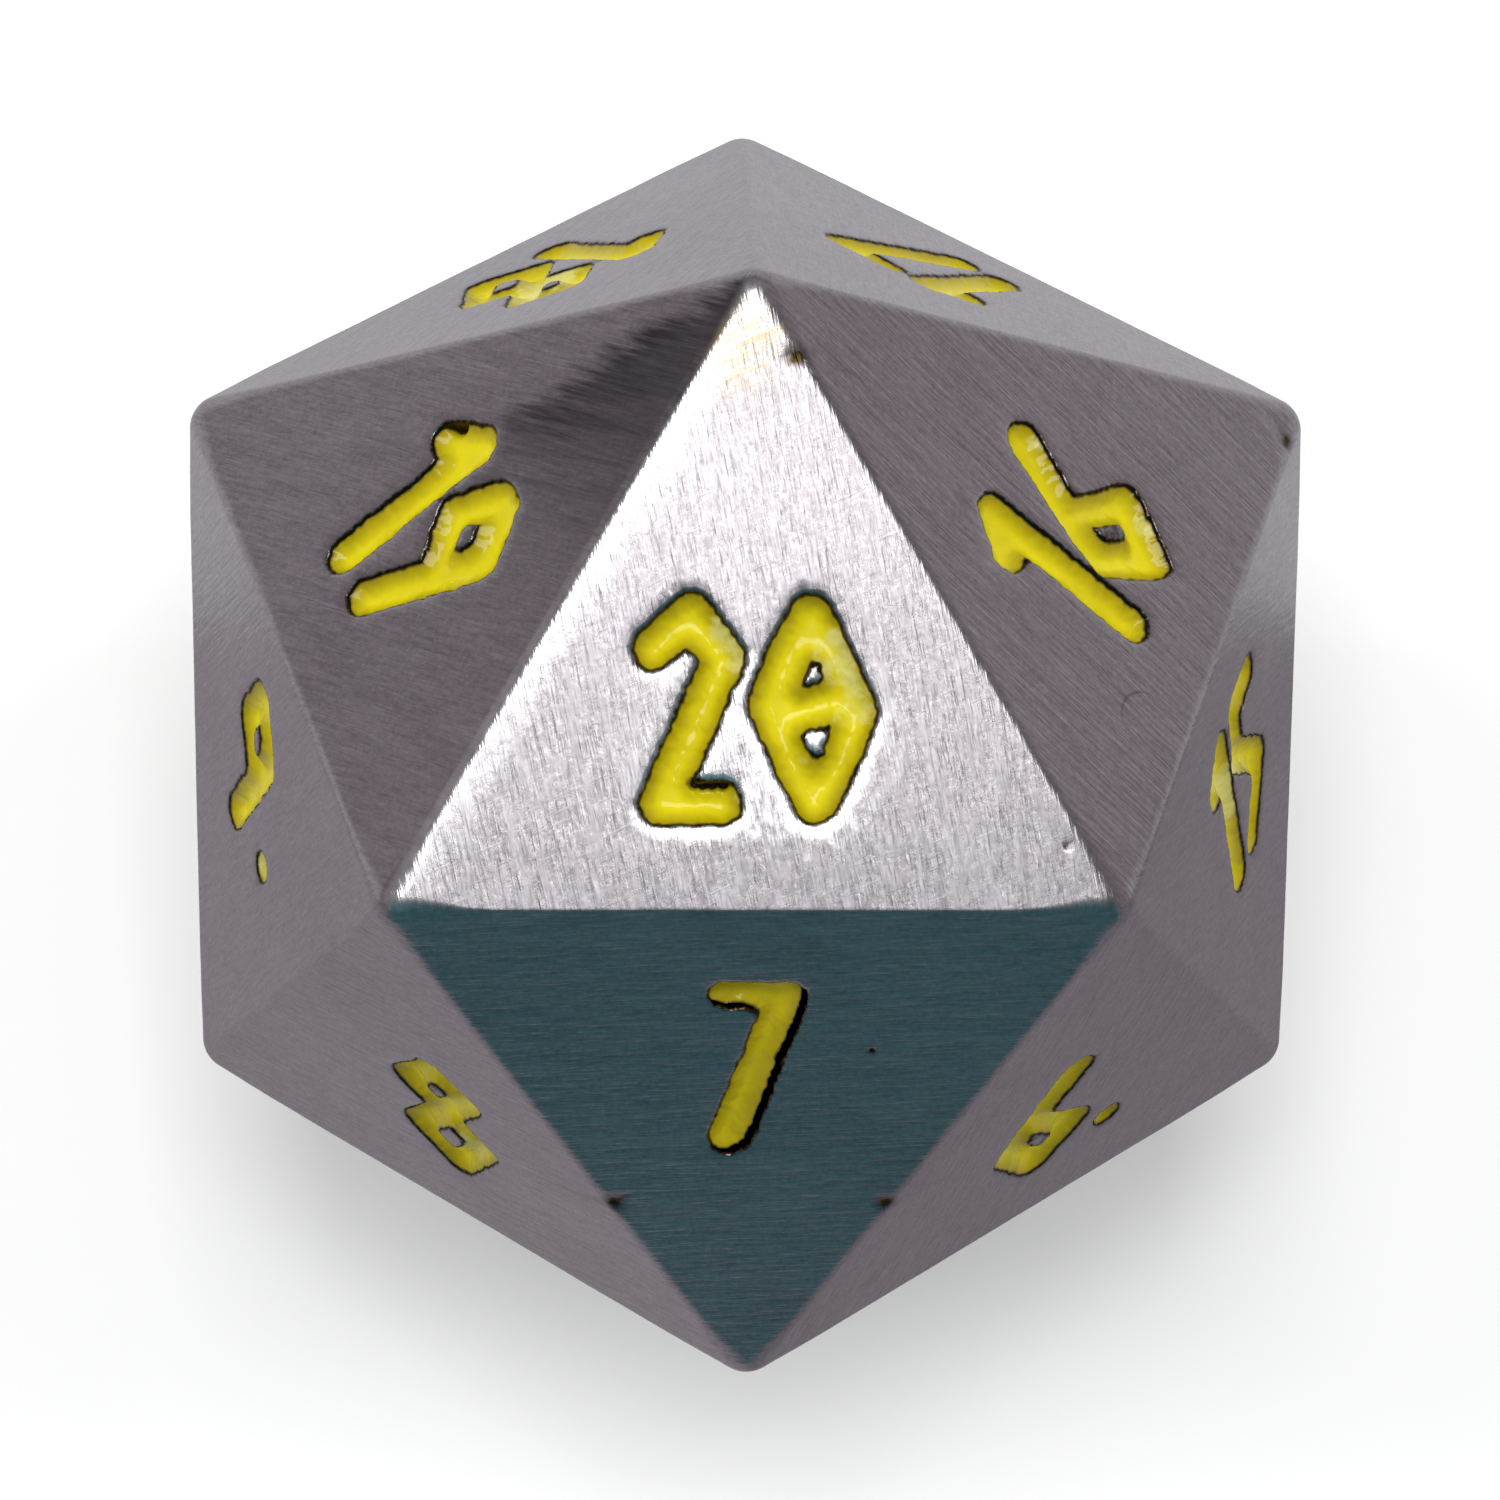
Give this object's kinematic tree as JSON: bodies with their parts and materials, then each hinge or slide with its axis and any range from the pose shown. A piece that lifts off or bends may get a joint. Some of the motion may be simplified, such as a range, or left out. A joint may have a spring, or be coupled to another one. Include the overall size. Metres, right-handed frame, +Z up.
{
  "type": "polyhedral die",
  "caption": "Solid metal die with twenty triangular flats, eased edges and engraved numerals filled with yellow enamel.",
  "frame": {"origin": "middle of the flat that carries the 2, on the surface the die stands on", "axes": "+Z up through the 20, +Y the way the 20 reads up, +X to the right of the 20"},
  "size_m": [0.0236, 0.027, 0.022],
  "materials": {
    "metal": "brushed satin steel with fine scratches",
    "enamel": "glossy poured yellow enamel"
  },
  "bodies": {
    "root": {"die_body": "metal", "enamel_1": "enamel", "enamel_10_tens": "enamel", "enamel_10_units": "enamel", "enamel_11_tens": "enamel", "enamel_11_units": "enamel", "enamel_12_tens": "enamel", "enamel_12_units": "enamel", "enamel_13_tens": "enamel", "enamel_13_units": "enamel", "enamel_14_tens": "enamel", "enamel_14_units": "enamel", "enamel_15_tens": "enamel", "enamel_15_units": "enamel", "enamel_16_tens": "enamel", "enamel_16_units": "enamel", "enamel_17_tens": "enamel", "enamel_17_units": "enamel", "enamel_18_tens": "enamel", "enamel_18_units": "enamel", "enamel_19_tens": "enamel", "enamel_19_units": "enamel", "enamel_2": "enamel", "enamel_20_tens": "enamel", "enamel_20_units": "enamel", "enamel_3": "enamel", "enamel_4": "enamel", "enamel_5": "enamel", "enamel_6": "enamel", "enamel_6_dot": "enamel", "enamel_7": "enamel", "enamel_8": "enamel", "enamel_9": "enamel", "enamel_9_dot": "enamel"}
  },
  "joints": []
}
